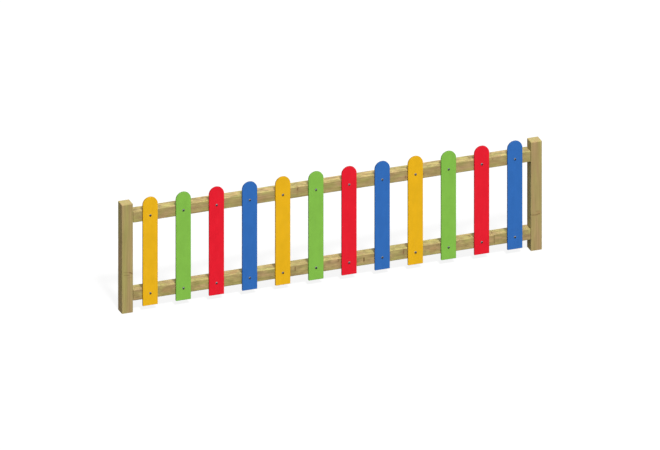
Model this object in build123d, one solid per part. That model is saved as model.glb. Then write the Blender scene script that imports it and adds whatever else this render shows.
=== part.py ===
from build123d import *
import os

# Playground fence bay: two square posts, two rails tenoned between them, and a row of
# round-headed coloured pickets screwed to the front of the rails.
# Millimetres. The origin is the middle of the left post's foot, on the ground.
# +X runs along the fence to the right post, +Z is up, and the pickets face -Y.

# Timber sections and span
clear_span = 3200  # between the posts' inner faces
post_width = 90  # square, and the rails are as deep, flush with the posts front and back
rail_height = 90
arris_radius = 5  # planed rounding on every timber edge that shows

# Heights, from the ground up
ground_gap = 45  # from the ground to the pickets' lower ends
picket_drop = 50  # pickets reach this far below the lower rail
rail_gap = 560  # clear height between the rails
picket_rise = 110  # pickets reach this far above the upper rail
post_rise = 70  # posts reach this far above the upper rail

# Stub tenons on the rails' ends
tenon_length = 45
tenon_height = 60
tenon_thickness = 30
tenon_clearance = 0.5  # on each side, in the mortise
tenon_end_gap = 2  # between the tenon's end and the bottom of its mortise

# Pickets
picket_count = 12
picket_width = 120
picket_thickness = 15
picket_bevel = 2  # routed round both faces
picket_colours = ["yellow", "green", "red", "blue"]  # repeated from left to right

# Holes for the screws, one through each picket at each rail
screw_diameter = 8
screw_clearance = 1  # added to the screw's diameter
screw_rise = 5  # from the rail's centre line up to the screw

# Levels
lower_rail_bottom = ground_gap + picket_drop
upper_rail_bottom = lower_rail_bottom + rail_height + rail_gap
upper_rail_top = upper_rail_bottom + rail_height
picket_top = upper_rail_top + picket_rise
post_height = upper_rail_top + post_rise
rail_centres = [bottom + rail_height / 2 for bottom in (lower_rail_bottom, upper_rail_bottom)]
screw_levels = [centre_z + screw_rise for centre_z in rail_centres]

# Places along the fence: the pickets share the clear span evenly, half a gap at each end
span_start = post_width / 2
span_middle = span_start + clear_span / 2
right_post_x = span_start + clear_span + post_width / 2
picket_pitch = clear_span / picket_count
picket_places = [span_start + picket_pitch * (index + 0.5) for index in range(picket_count)]

# The posts' and rails' common front plane, where the pickets seat, with its normal towards -Y
seat_plane = Plane.XZ.offset(post_width / 2)


def tenon_bar(centre_z, margin, end_margin):
    """A bar through the whole rail that stands out at both ends as the tenons, grown by the margins."""
    length = clear_span + 2 * (tenon_length + end_margin)
    thickness = tenon_thickness + 2 * margin
    height = tenon_height + 2 * margin
    return Pos(span_middle, 0, centre_z) * Box(length, thickness, height)


def make_post(x):
    """A post with every edge eased but those of its foot, and a mortise for each rail."""
    timber = Pos(x, 0, post_height / 2) * Box(post_width, post_width, post_height)
    foot = timber.faces().sort_by(Axis.Z)[0]
    post = fillet(timber.edges() - foot.edges(), arris_radius)
    for centre_z in rail_centres:
        post -= tenon_bar(centre_z, tenon_clearance, tenon_end_gap)
    return post


def make_rail(centre_z):
    """A rail with eased edges all round and a stub tenon at each end."""
    timber = Pos(span_middle, 0, centre_z) * Box(clear_span, post_width, rail_height)
    return fillet(timber.edges(), arris_radius) + tenon_bar(centre_z, 0, 0)


def make_picket(x):
    """A board with a half-round head, bevelled round both faces and drilled at each rail."""
    half = picket_width / 2
    shoulder = picket_top - half
    sides = Polyline((x - half, shoulder), (x - half, ground_gap), (x + half, ground_gap), (x + half, shoulder))
    head = ThreePointArc((x + half, shoulder), (x, picket_top), (x - half, shoulder))
    board = extrude(seat_plane * make_face([sides, head]), amount=picket_thickness)
    picket = chamfer(board.faces().filter_by(Axis.Y).edges(), picket_bevel)
    for level in screw_levels:
        hole = seat_plane * Pos(x, level) * Circle((screw_diameter + screw_clearance) / 2)
        picket -= extrude(hole, amount=picket_thickness)
    return picket


def make_fence():
    """Every piece of the fence by name."""
    pieces = {
        "left_post": make_post(0),
        "right_post": make_post(right_post_x),
        "lower_rail": make_rail(rail_centres[0]),
        "upper_rail": make_rail(rail_centres[1]),
    }
    for index, x in enumerate(picket_places):
        colour = picket_colours[index % len(picket_colours)]
        pieces[f"picket_{index + 1:02d}_{colour}"] = make_picket(x)
    return pieces


os.makedirs("parts", exist_ok=True)
for name, piece in make_fence().items():
    piece.label = name
    export_step(piece, f"parts/{name}.step")
    size = piece.bounding_box().size
    print(f"{name}: {size.X:.1f} x {size.Y:.1f} x {size.Z:.1f} mm, {piece.volume / 1e6:.3f} litres")
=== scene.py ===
import math
import random

import bmesh
import bpy
from mathutils import Matrix, Vector, geometry, noise


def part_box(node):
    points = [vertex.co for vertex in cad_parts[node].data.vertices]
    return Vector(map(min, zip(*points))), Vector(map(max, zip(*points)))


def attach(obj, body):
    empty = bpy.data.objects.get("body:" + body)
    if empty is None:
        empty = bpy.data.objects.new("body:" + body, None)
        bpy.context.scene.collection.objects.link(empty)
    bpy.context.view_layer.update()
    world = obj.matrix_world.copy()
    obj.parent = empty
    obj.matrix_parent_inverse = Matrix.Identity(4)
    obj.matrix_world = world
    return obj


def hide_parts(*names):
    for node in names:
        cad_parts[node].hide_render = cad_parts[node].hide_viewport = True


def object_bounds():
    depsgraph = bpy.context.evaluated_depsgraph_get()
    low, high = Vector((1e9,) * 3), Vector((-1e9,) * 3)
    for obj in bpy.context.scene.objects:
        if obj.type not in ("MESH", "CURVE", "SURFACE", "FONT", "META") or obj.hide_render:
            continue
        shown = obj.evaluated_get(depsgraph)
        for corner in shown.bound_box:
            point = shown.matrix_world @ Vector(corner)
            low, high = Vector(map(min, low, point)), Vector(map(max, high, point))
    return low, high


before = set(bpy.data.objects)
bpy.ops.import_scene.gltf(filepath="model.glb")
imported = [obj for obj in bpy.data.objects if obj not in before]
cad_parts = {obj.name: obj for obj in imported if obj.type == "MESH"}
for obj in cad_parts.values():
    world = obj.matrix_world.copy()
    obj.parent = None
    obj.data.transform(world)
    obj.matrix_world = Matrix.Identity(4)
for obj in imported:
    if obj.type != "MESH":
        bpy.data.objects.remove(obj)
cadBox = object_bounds()  # the solids' own box
mm = 0.001
scene = bpy.context.scene
boardNodes = sorted(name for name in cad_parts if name.startswith("picket"))
print("frame loaded:", len(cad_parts), "nodes,", len(boardNodes), "pickets")


def linearColour(hexText):  # by the sRGB curve
    channels = [int(hexText[i:i + 2], 16) / 255 for i in (1, 3, 5)]
    straight = [c / 12.92 if c <= 0.04045 else ((c + 0.055) / 1.055) ** 2.4 for c in channels]
    return (*straight, 1.0)


white = linearColour("#ffffff")
mixFrom, mixTo, mixOut = 6, 7, 2  # the colour sockets of a Mix node


def perMetre(*sizes):  # pattern scale along each axis, from the pattern's size in mm
    return tuple(1 / (size * mm) for size in sizes)


def addNode(tree, kind, inputs, take=0, **settings):
    node = tree.nodes.new("ShaderNode" + kind)
    for key, value in settings.items():
        setattr(node, key, value)
    for socket, value in inputs.items():
        if isinstance(value, bpy.types.NodeSocket):
            tree.links.new(value, node.inputs[socket])
        else:
            node.inputs[socket].default_value = value
    return node.outputs[take]


def newMaterial(name):
    material = bpy.data.materials.new(name)
    material.use_nodes = True
    return material, material.node_tree, material.node_tree.nodes["Principled BSDF"]


def quarterTurn(steps):  # the angles of a rounding, 0 to 90 degrees
    return [math.pi / 2 * step / steps for step in range(steps + 1)]


def bridgeLoops(bm, loops):  # skin between rings that have as many points each
    for here, there in zip(loops, loops[1:]):
        for i in range(len(here)):
            bm.faces.new((here[i - 1], here[i], there[i], there[i - 1]))


faceWeight = 60  # broad faces shade flat up to their edges


def makePiece(name, bm, material, nodes=(), flats=()):
    bmesh.ops.recalc_face_normals(bm, faces=bm.faces)
    for face in bm.faces:
        face.smooth = face not in flats
    mesh = bpy.data.meshes.new(name)
    bm.to_mesh(mesh)
    bm.free()
    mesh.materials.append(material)
    piece = bpy.data.objects.new(name, mesh)
    scene.collection.objects.link(piece)
    shading = piece.modifiers.new("shading", "WEIGHTED_NORMAL")
    shading.weight = faceWeight
    shading.keep_sharp = True
    if nodes:
        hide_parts(*nodes)
    return piece


# Planed pine, pressure treated: pale wood gone olive with copper salts and pinkish where the salts took
# less, soft slanting growth rings, brown knots that were cut along the branch, a dry matt surface
planedPine = {
    "greenTint": "#a89f62",
    "warmTint": "#ae936a",
    "lateWood": "#86703f",
    "knotHalo": "#a8825a",
    "knotWood": "#5f4526",
    "endWood": "#ada068",
    "arrisWood": "#bcae7c",
    "patterns": {  # mm along the grain and across it, octaves, the band of the noise drawn out to 0 and 1
        "ragged": ((30, 9, 9), 2, (0.0, 1.0)),
        "wobble": ((330, 60, 60), 3, (0.0, 1.0)),
        "tint": ((150, 55, 55), 3, (0.35, 0.65)),
        "blotch": ((55, 24, 24), 3, (0.3, 0.7)),
        "streak": ((220, 9, 9), 2, (0.45, 0.75)),  # bundles of fibres, drawn this wide so that they show
        "fibre": ((60, 1.6, 1.6), 4, (0.3, 0.7)),  # single fibres are far finer, these show only close by
    },
    "apart": (3.7, 1.3, 2.1),  # m between the patterns of two timbers whose seeds differ by one
    "ringWidth": 12.0,  # mm, real rings are about 5, drawn this wide so that they show
    "ringWobble": 17.0,  # mm that a ring wanders
    "ringEdge": 2.2,  # power that brings late wood on slowly, up to an edge
    "ringDepth": 0.3,  # how far late wood, streaks and fibres leave the ground tint
    "streakDepth": 0.25,
    "fibreDepth": 0.12,
    "knotRagged": 0.6,  # how far a knot's edge wanders, in radii of the knot
    "knotReach": (1.4, 0.4),  # where its dark wood ends and where it is full, in radii
    "haloReach": (3.4, 0.6),  # the same for the warm wood round it
    "endFacing": (0.7, 0.95),  # how squarely a sawn end crosses the grain, none and full
    "endShare": 0.3,
    "arrisBand": (-4.0, 1.0),  # mm from the arris, where its paler wood starts and is full
    "arrisShare": 0.15,
    "relief": 0.5,  # mm
    "reliefStrength": 0.35,
    "roughness": (0.72, 0.55),  # early wood and late wood
    "specular": 0.06,
}
alongGrain, acrossGrain, flatFace = (1, 0, 0), (0, 1, 1), (0, 0, 1)  # in a timber's own frame


def pineMaterial(name, log):
    material, tree, shader = newMaterial(name)
    place = addNode(tree, "TexCoord", {}, take="Object")
    apart = Vector(planedPine["apart"]) * log["seed"]  # each timber gets its own stretch of every pattern
    seeded = addNode(tree, "VectorMath", {0: place, 1: apart})
    patterns = {}
    for pattern, ((along, across, deep), octaves, (low, high)) in planedPine["patterns"].items():
        spread = perMetre(along * log["stretch"], across, deep)
        spread = addNode(tree, "Mapping", {"Vector": seeded, "Scale": spread})
        drawn = addNode(tree, "TexNoise", {"Vector": spread, "Scale": 1.0, "Detail": octaves})
        patterns[pattern] = addNode(tree, "MapRange", {"Value": drawn, "From Min": low, "From Max": high})

    # knots: distance from the branch's line over its radius, a little ragged
    ragged = planedPine["knotRagged"]
    ragged = addNode(tree, "MapRange", {"Value": patterns["ragged"], "To Min": -ragged, "To Max": ragged})
    woodEnd, woodFull = planedPine["knotReach"]
    haloEnd, haloFull = planedPine["haloReach"]
    core, halo = 0.0, 0.0
    for start, end, radius, dark, warm in log["knots"]:
        start, branch = Vector(start) * mm, (Vector(end) - Vector(start)) * mm
        offset = addNode(tree, "VectorMath", {0: place, 1: start}, operation="SUBTRACT")
        share = {0: offset, 1: branch / branch.length_squared}
        share = addNode(tree, "VectorMath", share, take="Value", operation="DOT_PRODUCT")
        share = addNode(tree, "Clamp", {"Value": share})
        nearest = addNode(tree, "VectorMath", {0: branch, "Scale": share}, operation="SCALE")
        away = addNode(tree, "VectorMath", {0: offset, 1: nearest}, take="Value", operation="DISTANCE")
        away = {0: away, 1: 1 / (radius * mm), 2: ragged}
        away = addNode(tree, "Math", away, operation="MULTIPLY_ADD")
        wood = {"Value": away, "From Min": woodEnd, "From Max": woodFull, "To Max": dark}
        wood = addNode(tree, "MapRange", wood, interpolation_type="SMOOTHSTEP")
        core = addNode(tree, "Math", {0: core, 1: wood}, operation="MAXIMUM")
        glow = {"Value": away, "From Min": haloEnd, "From Max": haloFull, "To Max": warm}
        glow = addNode(tree, "MapRange", glow, interpolation_type="SMOOTHSTEP")
        halo = addNode(tree, "Math", {0: halo, 1: glow}, operation="MAXIMUM")

    # growth rings about the heart, which leans along the timber, pushed aside round the knots
    heart = Vector((0, *log["heart"])) * mm
    rings = {"Vector": place, "Location": -heart, "Rotation": log["lean"]}
    rings = addNode(tree, "Mapping", rings)
    rings = addNode(tree, "VectorMath", {0: rings, 1: acrossGrain}, operation="MULTIPLY")
    rings = addNode(tree, "VectorMath", {0: rings}, take="Value", operation="LENGTH")
    pitch = planedPine["ringWidth"] * mm
    wander = {0: patterns["wobble"], 1: 2 * planedPine["ringWobble"] * mm, 2: rings}
    rings = addNode(tree, "Math", wander, operation="MULTIPLY_ADD")
    rings = addNode(tree, "Math", {0: halo, 1: pitch, 2: rings}, operation="MULTIPLY_ADD")
    rings = addNode(tree, "Math", {0: rings, 1: pitch}, operation="DIVIDE")
    rings = addNode(tree, "Math", {0: rings}, operation="FRACT")
    rings = addNode(tree, "Math", {0: rings, 1: planedPine["ringEdge"]}, operation="POWER")

    # ground tint: flat-sawn faces took more of the salts and show a bolder figure than rift-sawn ones
    normal = addNode(tree, "TexCoord", {}, take="Normal")
    normal = addNode(tree, "VectorMath", {0: normal}, operation="ABSOLUTE")
    flatSawn = addNode(tree, "VectorMath", {0: normal, 1: flatFace}, take="Value", operation="DOT_PRODUCT")
    tint = {0: flatSawn, 1: log["salts"], 2: patterns["tint"]}
    tint = addNode(tree, "Math", tint, operation="MULTIPLY_ADD")
    warm, green = linearColour(planedPine["warmTint"]), linearColour(planedPine["greenTint"])
    colour = addNode(tree, "Mix", {0: tint, mixFrom: warm, mixTo: green}, take=mixOut, data_type="RGBA")
    calm, bold = log["uneven"]
    figure = addNode(tree, "MapRange", {"Value": flatSawn, "To Min": calm, "To Max": bold})
    blotch = addNode(tree, "MapRange", {"Value": patterns["blotch"], "To Min": -1.0})
    blotch = addNode(tree, "Math", {0: blotch, 1: figure, 2: 1.0}, operation="MULTIPLY_ADD")
    depth = planedPine["fibreDepth"]
    fibre = addNode(tree, "MapRange", {"Value": patterns["fibre"], "To Min": 1 - depth, "To Max": 1 + depth})
    ground = addNode(tree, "Math", {0: blotch, 1: fibre}, operation="MULTIPLY")
    colour = addNode(tree, "VectorMath", {0: colour, "Scale": ground}, operation="SCALE")

    # then late wood, knots, sawn ends and arrises over it
    late = addNode(tree, "Math", {0: rings, 1: planedPine["ringDepth"]}, operation="MULTIPLY")
    late = {0: patterns["streak"], 1: planedPine["streakDepth"], 2: late}
    late = addNode(tree, "Math", late, operation="MULTIPLY_ADD")
    low, high = planedPine["endFacing"]
    sawn = addNode(tree, "VectorMath", {0: normal, 1: alongGrain}, take="Value", operation="DOT_PRODUCT")
    sawn = {"Value": sawn, "From Min": low, "From Max": high, "To Max": planedPine["endShare"]}
    sawn = addNode(tree, "MapRange", sawn)
    low, high = [2 * log["half"] + (edge - timberCut["arris"]) * mm for edge in planedPine["arrisBand"]]
    worn = addNode(tree, "VectorMath", {0: place}, operation="ABSOLUTE")
    worn = addNode(tree, "VectorMath", {0: worn, 1: acrossGrain}, take="Value", operation="DOT_PRODUCT")
    worn = {"Value": worn, "From Min": low, "From Max": high, "To Max": planedPine["arrisShare"]}
    worn = addNode(tree, "MapRange", worn)
    layers = {"lateWood": late, "knotHalo": halo, "knotWood": core, "endWood": sawn, "arrisWood": worn}
    for wood, share in layers.items():
        mix = {0: share, mixFrom: colour, mixTo: linearColour(planedPine[wood])}
        colour = addNode(tree, "Mix", mix, take=mixOut, data_type="RGBA")
    tree.links.new(colour, shader.inputs["Base Color"])

    height = addNode(tree, "Math", {0: patterns["streak"], 1: rings}, operation="ADD")
    height = addNode(tree, "Math", {0: height, 1: fibre}, operation="ADD")
    bump = {"Height": height, "Strength": planedPine["reliefStrength"], "Distance": planedPine["relief"] * mm}
    tree.links.new(addNode(tree, "Bump", bump), shader.inputs["Normal"])
    early, hard = planedPine["roughness"]
    rough = addNode(tree, "MapRange", {"Value": rings, "To Min": early, "To Max": hard})
    tree.links.new(rough, shader.inputs["Roughness"])
    shader.inputs["Specular IOR Level"].default_value = planedPine["specular"]
    return material


# Timbers: square sections with planed arrises, lofted along the grain, local X is the grain
timberCut = {
    "arris": 5.0,  # mm
    "arrisSteps": 5,
    "faceSteps": 6,
    "station": 25.0,  # mm between sections
    "hollow": 0.35,  # mm, deepest that planing and drying leave
    "hollowSize": (120, 50, 50),  # mm
    "knock": 0.5,  # mm, deepest along an arris
    "knockSize": (30, 200, 200),  # mm
    "apart": 11.0,  # pattern sizes between two timbers whose seeds differ by one
    "jointGap": 1.3,  # mm, open joint between a rail's shoulder and its post
    "stubInset": 15.0,  # mm, from the rail's faces to the stub that closes the joint inside
    "stubCorner": 0.4,  # mm
}


def timberSection(half, corner):  # points round the section, and whether each lies on an arris
    flat = half - corner
    points = []
    for side in range(4):  # an arris, then the face up to the next one
        quarter = Matrix.Rotation(side * math.pi / 2, 2)
        for angle in quarterTurn(timberCut["arrisSteps"]):
            spot = Vector((flat + corner * math.cos(angle), flat + corner * math.sin(angle)))
            points.append((quarter @ spot, True))
        for step in range(1, timberCut["faceSteps"]):
            spot = Vector((flat * (1 - 2 * step / timberCut["faceSteps"]), half))
            points.append((quarter @ spot, False))
    return points


def timberStations(length, roundStart, gap):  # inset from the faces and place along the grain
    arris, stub = timberCut["arris"] * mm, timberCut["stubInset"] * mm
    rounding = []
    for angle in quarterTurn(timberCut["arrisSteps"]):
        rounding.append((arris * (1 - math.cos(angle)), gap + arris * (1 - math.sin(angle))))
    if gap:
        rounding += [(stub, gap), (stub, 0.0)]
    first, last = gap + arris, length - gap - arris
    count = round((last - first) / (timberCut["station"] * mm))
    middle = [(0.0, first + (last - first) * step / count) for step in range(1, count)]
    head = rounding[::-1] if roundStart else [(0.0, 0.0)]
    tail = [(inset, length - x) for inset, x in rounding]
    return head + middle + tail


def surfaceNoise(at, size, shift):
    return noise.noise(Vector([place / (reach * mm) for place, reach in zip(at, size)]) + shift)


def makeTimber(name, node, log, length, matrix, roundStart, gap):
    bm = bmesh.new()
    half, arris, least = log["half"], timberCut["arris"] * mm, timberCut["stubCorner"] * mm
    shift = Vector((log["seed"] * timberCut["apart"], 0, 0))
    loops = []
    for inset, x in timberStations(length, roundStart, gap):
        loop = []
        for point, onArris in timberSection(half - inset, max(arris - inset, least)):
            at = Vector((x, *point))
            hollow = (1 + surfaceNoise(at, timberCut["hollowSize"], shift)) / 2  # 0 to 1
            knock = max(0, surfaceNoise(at, timberCut["knockSize"], -shift)) if onArris else 0
            depth = (timberCut["hollow"] * hollow + timberCut["knock"] * knock) * mm
            loop.append(bm.verts.new((x, *(point * (1 - depth / half)))))
        loops.append(loop)
    bridgeLoops(bm, loops)
    foot = bm.faces.new(loops[0][::-1])
    bm.faces.new(loops[-1])
    if not roundStart:
        for edge in foot.edges:
            edge.smooth = False  # sawn square
    piece = makePiece(name, bm, pineMaterial("planedTreatedPine_" + name, log), [node])
    piece.matrix_world = matrix
    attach(piece, "root")


# Each timber's own wood: stretch draws its patterns longer, uneven is how far blotches leave the ground tint
# on rift-sawn and on flat-sawn faces, salts how much greener the flat-sawn ones are. Heart is the middle of
# the rings across the section, mm, and lean how it tilts, radians.
# Knots: the branch's line from start to end and its radius, mm in the timber's own frame, then how dark its
# wood and how warm the wood round it is. Those with no dark wood are only pinkish patches
railLogs = {
    "upper_rail": {
        "seed": 1.0,
        "stretch": 1.0,
        "uneven": (0.13, 0.41),
        "salts": 0.1,
        "heart": (38, -85),
        "lean": (0, 0.02, -0.03),
        "knots": [
            ((1322, -45, 18), (1324, -45, 42), 6, 0.55, 0.3),
            ((1324, -42, 45), (1319, -26, 45), 4, 0.35, 0.1),
            ((1320, -45, -22), (1322, -45, 16), 4, 0.12, 0.2),
            ((2193, -45, -16), (2193, -45, -8), 5, 0.55, 0.3),
            ((2336, -45, -12), (2336, -45, -6), 4, 0.4, 0.4),
            ((2892, -45, 25), (2894, -45, 30), 4, 0.45, 0.1),
            ((2717, 22, 45), (2722, -2, 45), 4.5, 0.6, 0.0),
            ((2902, 30, 45), (2896, 4, 45), 4.5, 0.6, 0.0),
            ((2984, 30, 45), (2986, 42, 45), 5, 0.35, 0.2),
            ((826, -8, 45), (848, 8, 45), 11, 0.0, 0.4),
            ((1862, -6, 45), (1885, 4, 45), 10, 0.0, 0.4),
            ((700, 45, 0), (703, 45, 12), 6, 0.5, 0.4),
            ((1980, 45, -10), (1978, 45, 8), 5, 0.5, 0.4),
            ((2610, 45, 15), (2612, 45, 20), 7, 0.4, 0.5),
        ],
    },
    "lower_rail": {
        "seed": 2.0,
        "stretch": 1.0,
        "uneven": (0.26, 0.28),
        "salts": 0.25,
        "heart": (30, -80),
        "lean": (0, -0.025, 0.03),
        "knots": [
            ((5, -45, -25), (12, -45, 0), 34, 0.2, 0.0),  # only a darker stretch
            ((255, -45, 5), (285, -45, 2), 11, 0.0, 0.45),
            ((1304, -45, 2), (1304, -45, 28), 5, 0.65, 0.1),
            ((1650, -45, 22), (1654, -45, 36), 4.5, 0.55, 0.3),
            ((1857, -45, -8), (1857, -45, 16), 6.5, 0.8, 0.0),
            ((2174, -45, 6), (2178, -45, 36), 5, 0.6, 0.3),
            ((2906, -45, -28), (2906, -45, 40), 3.2, 0.5, 0.0),
            ((812, -12, 45), (842, 10, 45), 12, 0.12, 0.55),
            ((2402, -45, -6), (2422, -45, 4), 10, 0.0, 0.45),
            ((2715, 16, 45), (2722, -14, 45), 5, 0.75, 0.0),
            ((2903, 22, 45), (2898, -14, 45), 4.5, 0.65, 0.0),
            ((480, 45, -5), (482, 45, 10), 6, 0.5, 0.4),
            ((1420, 45, 10), (1424, 45, 15), 7, 0.45, 0.5),
            ((2330, 45, -18), (2330, 45, -2), 5, 0.5, 0.3),
        ],
    },
}
postLogs = {
    "left_post": {
        "seed": 6.4,
        "stretch": 4.0,
        "uneven": (0.09, 0.09),
        "salts": 0.0,
        "heart": (-60, -30),
        "lean": (0, 0.02, 0.02),
        "knots": [
            ((336, 17, -45), (325, 38, -45), 5, 0.6, 0.2),
            ((344, -33, -45), (336, 14, -45), 3, 0.3, 0.0),
            ((319, -28, -45), (312, 16, -45), 3.5, 0.4, 0.0),
            ((292, 2, -45), (295, 30, -45), 3, 0.25, 0.0),
            ((560, -10, 45), (566, 8, 45), 6, 0.45, 0.4),
        ],
    },
    "right_post": {
        "seed": 5.3,
        "stretch": 4.0,
        "uneven": (0.09, 0.09),
        "salts": 0.0,
        "heart": (-70, -32),
        "lean": (0, -0.02, 0.02),
        "knots": [
            ((299, -35, -45), (295, -3, -45), 4.5, 0.5, 0.1),
            ((295, -3, -45), (303, 24, -45), 4.5, 0.5, 0.1),
            ((326, -3, -45), (324, 22, -45), 3.5, 0.3, 0.0),
            ((313, 15, -45), (314, 22, -45), 7, 0.0, 0.4),
            ((520, 45, -8), (514, 45, 12), 6, 0.45, 0.4),
        ],
    },
}
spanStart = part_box("left_post")[1].x
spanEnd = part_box("right_post")[0].x
for node, log in railLogs.items():
    low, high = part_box(node)
    log["half"] = (high.z - low.z) / 2
    start = Matrix.Translation((spanStart, 0, (low.z + high.z) / 2))
    makeTimber(node + "_timber", node, log, spanEnd - spanStart, start, True, timberCut["jointGap"] * mm)
upright = Matrix(((0, 1, 0), (0, 0, 1), (1, 0, 0))).to_4x4()  # local X to +Z, then Y to +X and Z to +Y
for node, log in postLogs.items():
    low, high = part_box(node)
    log["half"] = (high.x - low.x) / 2
    foot = Matrix.Translation(((low.x + high.x) / 2, 0, low.z))
    makeTimber(node + "_timber", node, log, high.z - low.z, foot @ upright, False, 0.0)
print("timbers:", len(postLogs), "posts and", len(railLogs), "rails")


# Polyethylene board, cut from extruded sheet with a routed edge: coloured right through, satin, with a
# faint mottle from the rollers and a rougher band where the cutter went round, darkened there as painted
# shade
polyethylene = {
    "yellow": "#e5b01b",
    "green": "#80b849",
    "red": "#e31d2e",
    "blue": "#3169b3",
    "patterns": {  # mm and octaves
        "roll": ((45, 45, 90), 2.0),  # slow unevenness of the rolled face
        "peel": ((7, 7, 7), 1.0),  # real peel is about 1 mm, drawn this wide so that it shows
        "scuff": ((9, 9, 160), 3.0),
    },
    "rollBand": (0.3, 0.7),  # the band of the noise that goes from dark to light
    "rollShade": (0.96, 1.04),
    "scuffBand": (0.6, 0.8),
    "scuffShare": 0.012,
    "rimFacing": (0.95, 0.5),  # how squarely a face looks forward, where the routed edge starts and is full
    # painted shade: the routed edge's colour as a share of the face's
    "rimPaintedShade": 0.55,
    "rimRoughness": 0.15,  # on top of the face's own
    "roughness": (0.42, 0.58),
    "relief": 0.5,  # mm
    "reliefStrength": 0.12,
    "ior": 1.54,
    "specular": 0.1,
}
frontFace = (0, 1, 0)


def boardMaterial(colourName):
    material, tree, shader = newMaterial("routedPolyethylene_" + colourName)
    place = addNode(tree, "TexCoord", {}, take="Object")
    patterns = {}
    for pattern, (size, octaves) in polyethylene["patterns"].items():
        spread = addNode(tree, "Mapping", {"Vector": place, "Scale": perMetre(*size)})
        patterns[pattern] = addNode(tree, "TexNoise", {"Vector": spread, "Scale": 1.0, "Detail": octaves})
    normal = addNode(tree, "TexCoord", {}, take="Normal")
    normal = addNode(tree, "VectorMath", {0: normal}, operation="ABSOLUTE")
    rim = addNode(tree, "VectorMath", {0: normal, 1: frontFace}, take="Value", operation="DOT_PRODUCT")
    start, full = polyethylene["rimFacing"]
    rim = addNode(tree, "MapRange", {"Value": rim, "From Min": start, "From Max": full})

    low, high = polyethylene["rollBand"]
    dark, light = polyethylene["rollShade"]
    shade = {"Value": patterns["roll"], "From Min": low, "From Max": high, "To Min": dark, "To Max": light}
    shade = addNode(tree, "MapRange", shade)
    # painted shade: darken the routed edge's colour
    shade = {0: rim, 1: polyethylene["rimPaintedShade"] - 1, 2: shade}
    shade = addNode(tree, "Math", shade, operation="MULTIPLY_ADD")
    base = linearColour(polyethylene[colourName])[:3]
    colour = addNode(tree, "VectorMath", {0: base, "Scale": shade}, operation="SCALE")
    low, high = polyethylene["scuffBand"]
    scuff = {"Value": patterns["scuff"], "From Min": low, "From Max": high}
    scuff["To Max"] = polyethylene["scuffShare"]
    scuff = addNode(tree, "MapRange", scuff)
    colour = addNode(tree, "Mix", {0: scuff, mixFrom: colour, mixTo: white}, take=mixOut, data_type="RGBA")
    tree.links.new(colour, shader.inputs["Base Color"])

    smooth, coarse = polyethylene["roughness"]
    rough = addNode(tree, "MapRange", {"Value": patterns["roll"], "To Min": smooth, "To Max": coarse})
    rough = {0: rim, 1: polyethylene["rimRoughness"], 2: rough}
    rough = addNode(tree, "Math", rough, operation="MULTIPLY_ADD")
    tree.links.new(rough, shader.inputs["Roughness"])
    bump = {"Height": patterns["peel"], "Strength": polyethylene["reliefStrength"]}
    bump["Distance"] = polyethylene["relief"] * mm
    tree.links.new(addNode(tree, "Bump", bump), shader.inputs["Normal"])
    shader.inputs["IOR"].default_value = polyethylene["ior"]
    shader.inputs["Specular IOR Level"].default_value = polyethylene["specular"]
    return material


# Boards: half-round heads, rounded round both faces, drilled at each rail
boardCut = {
    "edge": 2.0,  # mm, rounding round both faces
    "edgeSteps": 4,
    "corner": 3.0,  # mm, the lower corners
    "cornerSteps": 4,
    "headSteps": 48,
    "hole": 9.0,  # mm
    "holeSteps": 24,
    "holeRise": 5.0,  # mm, from a rail's centre line up to its screws
}


def boardOutline(low, high, inset):
    middle, half = (low.x + high.x) / 2, (high.x - low.x) / 2 - inset
    corner = boardCut["corner"] * mm - inset
    shoulder = high.z - (high.x - low.x) / 2
    points = []
    for step in range(boardCut["headSteps"] + 1):
        angle = math.pi * step / boardCut["headSteps"]
        points.append((middle + half * math.cos(angle), shoulder + half * math.sin(angle)))
    for side, turn in ((-1, math.pi), (1, 1.5 * math.pi)):  # lower corners, left then right
        x, z = middle + side * (half - corner), low.z + inset + corner
        for angle in quarterTurn(boardCut["cornerSteps"]):
            points.append((x + corner * math.cos(turn + angle), z + corner * math.sin(turn + angle)))
    return points


def makeBoard(name, node, material, screwLevels):
    low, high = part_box(node)
    edge = boardCut["edge"] * mm
    rounding = []
    for angle in quarterTurn(boardCut["edgeSteps"]):
        rounding.append((edge * (1 - math.sin(angle)), edge * (1 - math.cos(angle))))
    layers = [(inset, low.y + depth) for inset, depth in rounding]
    layers += [(inset, high.y - depth) for inset, depth in rounding[::-1]]
    bm = bmesh.new()
    loops = [[bm.verts.new((x, y, z)) for x, z in boardOutline(low, high, inset)] for inset, y in layers]
    bridgeLoops(bm, loops)
    middle, radius = (low.x + high.x) / 2, boardCut["hole"] * mm / 2
    turns = [2 * math.pi * step / boardCut["holeSteps"] for step in range(boardCut["holeSteps"])]
    frontRings, backRings = [loops[0]], [loops[-1]]
    for level in screwLevels:
        rim = [(middle + radius * math.cos(turn), level + radius * math.sin(turn)) for turn in turns]
        front = [bm.verts.new((x, low.y, z)) for x, z in rim]
        back = [bm.verts.new((x, high.y, z)) for x, z in rim]
        bridgeLoops(bm, [front, back])
        frontRings.append(front)
        backRings.append(back)
    flats = set()
    for rings in (frontRings, backRings):
        verts = [vert for ring in rings for vert in ring]
        for corners in geometry.tessellate_polygon([[vert.co for vert in ring] for ring in rings]):
            flats.add(bm.faces.new([verts[i] for i in corners]))
    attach(makePiece(name, bm, material, [node], flats), "root")


railBoxes = [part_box(node) for node in ("lower_rail", "upper_rail")]
screwLevels = [(low.z + high.z) / 2 + boardCut["holeRise"] * mm for low, high in railBoxes]
boardMaterials = {name: boardMaterial(name) for name in ("yellow", "green", "red", "blue")}
for node in boardNodes:
    colourName = node.split("_")[2]
    makeBoard(node + "_sheet", node, boardMaterials[colourName], screwLevels)
print("boards:", len(boardNodes))
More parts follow.
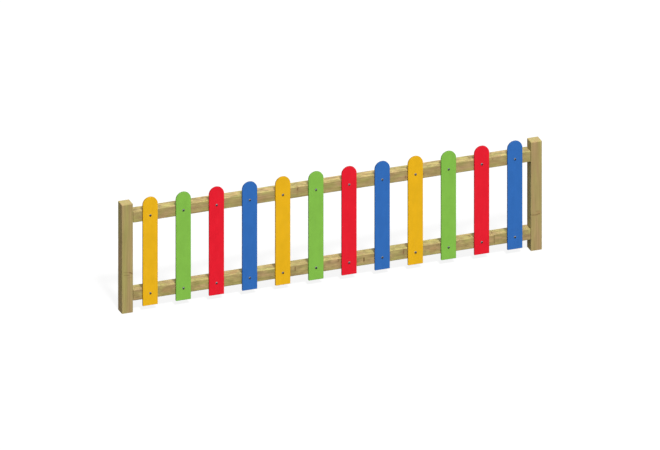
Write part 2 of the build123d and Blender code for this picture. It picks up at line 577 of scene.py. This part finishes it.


# Steel, cold headed and zinc flake coated: grey flakes in a clear binder, so hardly metallic to the eye, with
# a tight highlight on top of the dome, faint clouds and a recess coloured near black as painted shade
flakeSteel = {
    "bright": "#7c7e81",
    "dull": "#6c6e71",
    # painted shade: the colour of the screw's recess, near black
    "recessShade": "#141517",
    "cloudSize": (6, 6, 6),  # mm
    "cloudOctaves": 3.0,
    "roughness": (0.25, 0.4),
    "metallic": 0.1,
    "specular": 0.25,
}


def steelMaterial():
    material, tree, shader = newMaterial("zincFlakeSteel")
    place = addNode(tree, "TexCoord", {}, take="Object")
    cloud = addNode(tree, "Mapping", {"Vector": place, "Scale": perMetre(*flakeSteel["cloudSize"])})
    cloud = {"Vector": cloud, "Scale": 1.0, "Detail": flakeSteel["cloudOctaves"]}
    cloud = addNode(tree, "TexNoise", cloud)
    mix = {0: cloud, mixFrom: linearColour(flakeSteel["bright"]), mixTo: linearColour(flakeSteel["dull"])}
    colour = addNode(tree, "Mix", mix, take=mixOut, data_type="RGBA")
    # the recess faces take painted shade instead of the flake colour
    recessShade = addNode(tree, "Attribute", {}, take="Fac", attribute_name="recessShade")
    mix = {0: recessShade, mixFrom: colour, mixTo: linearColour(flakeSteel["recessShade"])}
    colour = addNode(tree, "Mix", mix, take=mixOut, data_type="RGBA")
    tree.links.new(colour, shader.inputs["Base Color"])
    smooth, coarse = flakeSteel["roughness"]
    rough = addNode(tree, "MapRange", {"Value": cloud, "To Min": smooth, "To Max": coarse})
    tree.links.new(rough, shader.inputs["Roughness"])
    shader.inputs["Metallic"].default_value = flakeSteel["metallic"]
    shader.inputs["Specular IOR Level"].default_value = flakeSteel["specular"]
    return material


# Mushroom-head screws with a pinned six-lobe recess, mm
screwShape = {
    "shank": 4.0,
    "depth": 15.0,  # as far as the board's back
    "reach": 9.5,
    "rim": 0.5,
    "dome": 7.0,
    "domeSteps": 8,
    "recess": 5.7,
    "recessDepth": 6.0,
    "lobes": 6,
    "lobeDepth": 0.4,
    "pin": 1.3,
    "pinRise": 2.0,
    "steps": 36,
    "seed": 5,  # each screw stops at its own turn
}


def screwProfile():  # radius, height over the board and painted recess shade, from the shank's end to the pin
    shape = screwShape
    ball = (shape["reach"] ** 2 + shape["dome"] ** 2) / (2 * shape["dome"])
    profile = [(shape["shank"], -shape["depth"], 0), (shape["shank"], 0.0, 0), (shape["reach"], 0.0, 0)]
    for step in range(shape["domeSteps"] + 1):
        radius = shape["reach"] + (shape["recess"] - shape["reach"]) * step / shape["domeSteps"]
        height = shape["rim"] + math.sqrt(ball ** 2 - radius ** 2) - ball + shape["dome"]
        profile.append((radius, height, 0))
    floor = height - shape["recessDepth"]
    profile += [(shape["recess"], height - shape["rim"], 1), (shape["recess"], floor, 1)]
    return profile + [(shape["pin"], floor, 1), (shape["pin"], floor + shape["pinRise"], 1)]


def addScrew(bm, x, y, z, turn):
    layer = bm.verts.layers.float["recessShade"]
    rings = []
    for radius, height, recessShade in screwProfile():
        lobe = screwShape["lobeDepth"] if radius == screwShape["recess"] else 0.0
        ring = []
        for step in range(screwShape["steps"]):
            angle = 2 * math.pi * step / screwShape["steps"]
            reach = (radius + lobe * math.cos(screwShape["lobes"] * angle)) * mm
            spot = (x + reach * math.cos(angle + turn), y - height * mm, z + reach * math.sin(angle + turn))
            ring.append(bm.verts.new(spot))
            ring[-1][layer] = recessShade
        rings.append(ring)
    bridgeLoops(bm, rings)
    bm.faces.new(rings[0][::-1])
    bm.faces.new(rings[-1])


def makeScrews():
    driver = random.Random(screwShape["seed"])
    material = steelMaterial()
    for level, rail in zip(screwLevels, ("lower", "upper")):
        bm = bmesh.new()
        bm.verts.layers.float.new("recessShade")
        for node in boardNodes:
            low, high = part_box(node)
            turn = driver.uniform(0, 2 * math.pi / screwShape["lobes"])
            addScrew(bm, (low.x + high.x) / 2, low.y, level, turn)
        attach(makePiece(rail + "_rail_screws", bm, material), "root")


makeScrews()
print("screws:", len(screwLevels) * len(boardNodes))


# Floor, light and camera
studio = {
    "floorReach": 30.0,  # m
    "floorTone": "#f3f3f3",
    "floorRoughness": 0.9,
    "floorShadow": 0.15,  # share of the floor's look that is lit, the rest is plain white
    "bounce": "#303030",  # what the floor throws back on the object
    "sky": 0.68,
    "keyStrength": 3.34,
    "keyFrom": (-1, 53),  # azimuth and elevation, degrees
    "keyAngle": 10,
    "backStrength": 1.0,
    "backFrom": (170, 8),
    "backAngle": 30,
}
photoView = {
    "size": (660, 450),  # px
    "scale": 132.284,  # px per metre
    "origin": (125.51, 310.79),  # px, where the left post's foot shows
    "from": (-20, 25),  # azimuth and elevation, degrees
    "distance": 12.0,  # m
    "farthest": 100.0,  # m
}


def towards(azimuth, elevation):
    turn, rise = math.radians(azimuth), math.radians(elevation)
    return Vector((math.sin(turn) * math.cos(rise), -math.cos(turn) * math.cos(rise), math.sin(rise)))


def seenOrBounced(tree):  # 1 for what the camera, a gloss or a clear piece sees, 0 for light on its way
    path = addNode(tree, "LightPath", {}).node
    seen = path.outputs["Is Camera Ray"]
    for ray in ("Is Glossy Ray", "Is Transmission Ray"):
        seen = addNode(tree, "Math", {0: seen, 1: path.outputs[ray]}, operation="MAXIMUM")
    return seen


def makeFloor():
    bm = bmesh.new()
    bmesh.ops.create_grid(bm, x_segments=1, y_segments=1, size=studio["floorReach"])
    mesh = bpy.data.meshes.new("floor")
    bm.to_mesh(mesh)
    bm.free()
    floor = bpy.data.objects.new("floor", mesh)
    floor.location = ((cadBox[0].x + cadBox[1].x) / 2, 0, 0)
    scene.collection.objects.link(floor)
    material, tree, shader = newMaterial("paintedFloor")
    shader.inputs["Roughness"].default_value = studio["floorRoughness"]
    shader.inputs["Specular IOR Level"].default_value = 0.0
    seen = seenOrBounced(tree)
    mix = {0: seen, mixFrom: linearColour(studio["bounce"]), mixTo: linearColour(studio["floorTone"])}
    colour = addNode(tree, "Mix", mix, take=mixOut, data_type="RGBA")
    tree.links.new(colour, shader.inputs["Base Color"])
    plain = addNode(tree, "Emission", {"Color": white, "Strength": 1.0})
    share = addNode(tree, "Math", {0: seen, 1: 1 - studio["floorShadow"]}, operation="MULTIPLY")
    surface = addNode(tree, "MixShader", {0: share, 1: shader.outputs[0], 2: plain})
    tree.links.new(surface, tree.nodes["Material Output"].inputs["Surface"])
    mesh.materials.append(material)


def makeSky():
    world = bpy.data.worlds.new("studioSky")
    scene.world = world
    world.use_nodes = True
    tree = world.node_tree
    strength = {"Value": seenOrBounced(tree), "To Min": studio["sky"], "To Max": 1.0}
    strength = addNode(tree, "MapRange", strength)
    back = tree.nodes["Background"]
    back.inputs["Color"].default_value = white
    tree.links.new(strength, back.inputs["Strength"])


def makeSun(name, strength, source, angle):
    sun = bpy.data.lights.new(name, "SUN")
    sun.energy = strength
    sun.angle = math.radians(angle)
    lamp = bpy.data.objects.new(name, sun)
    lamp.rotation_mode = "QUATERNION"
    lamp.rotation_quaternion = towards(*source).to_track_quat("Z", "Y")
    scene.collection.objects.link(lamp)


def makeCamera():
    lens = bpy.data.cameras.new("camera")
    lens.type = "ORTHO"
    lens.ortho_scale = photoView["size"][0] / photoView["scale"]
    lens.clip_end = photoView["farthest"]
    camera = bpy.data.objects.new("camera", lens)
    back = towards(*photoView["from"])
    camera.rotation_mode = "QUATERNION"
    camera.rotation_quaternion = back.to_track_quat("Z", "Y")
    right = camera.rotation_quaternion @ Vector((1, 0, 0))
    up = camera.rotation_quaternion @ Vector((0, 1, 0))
    across = (photoView["size"][0] / 2 - photoView["origin"][0]) / photoView["scale"]
    rise = (photoView["origin"][1] - photoView["size"][1] / 2) / photoView["scale"]
    camera.location = right * across + up * rise + back * photoView["distance"]
    scene.collection.objects.link(camera)
    scene.camera = camera


makeFloor()
makeSky()
makeSun("keySun", studio["keyStrength"], studio["keyFrom"], studio["keyAngle"])
makeSun("backSun", studio["backStrength"], studio["backFrom"], studio["backAngle"])
makeCamera()
scene.view_settings.view_transform = "Standard"
print("stage: floor, sky, two suns and camera")
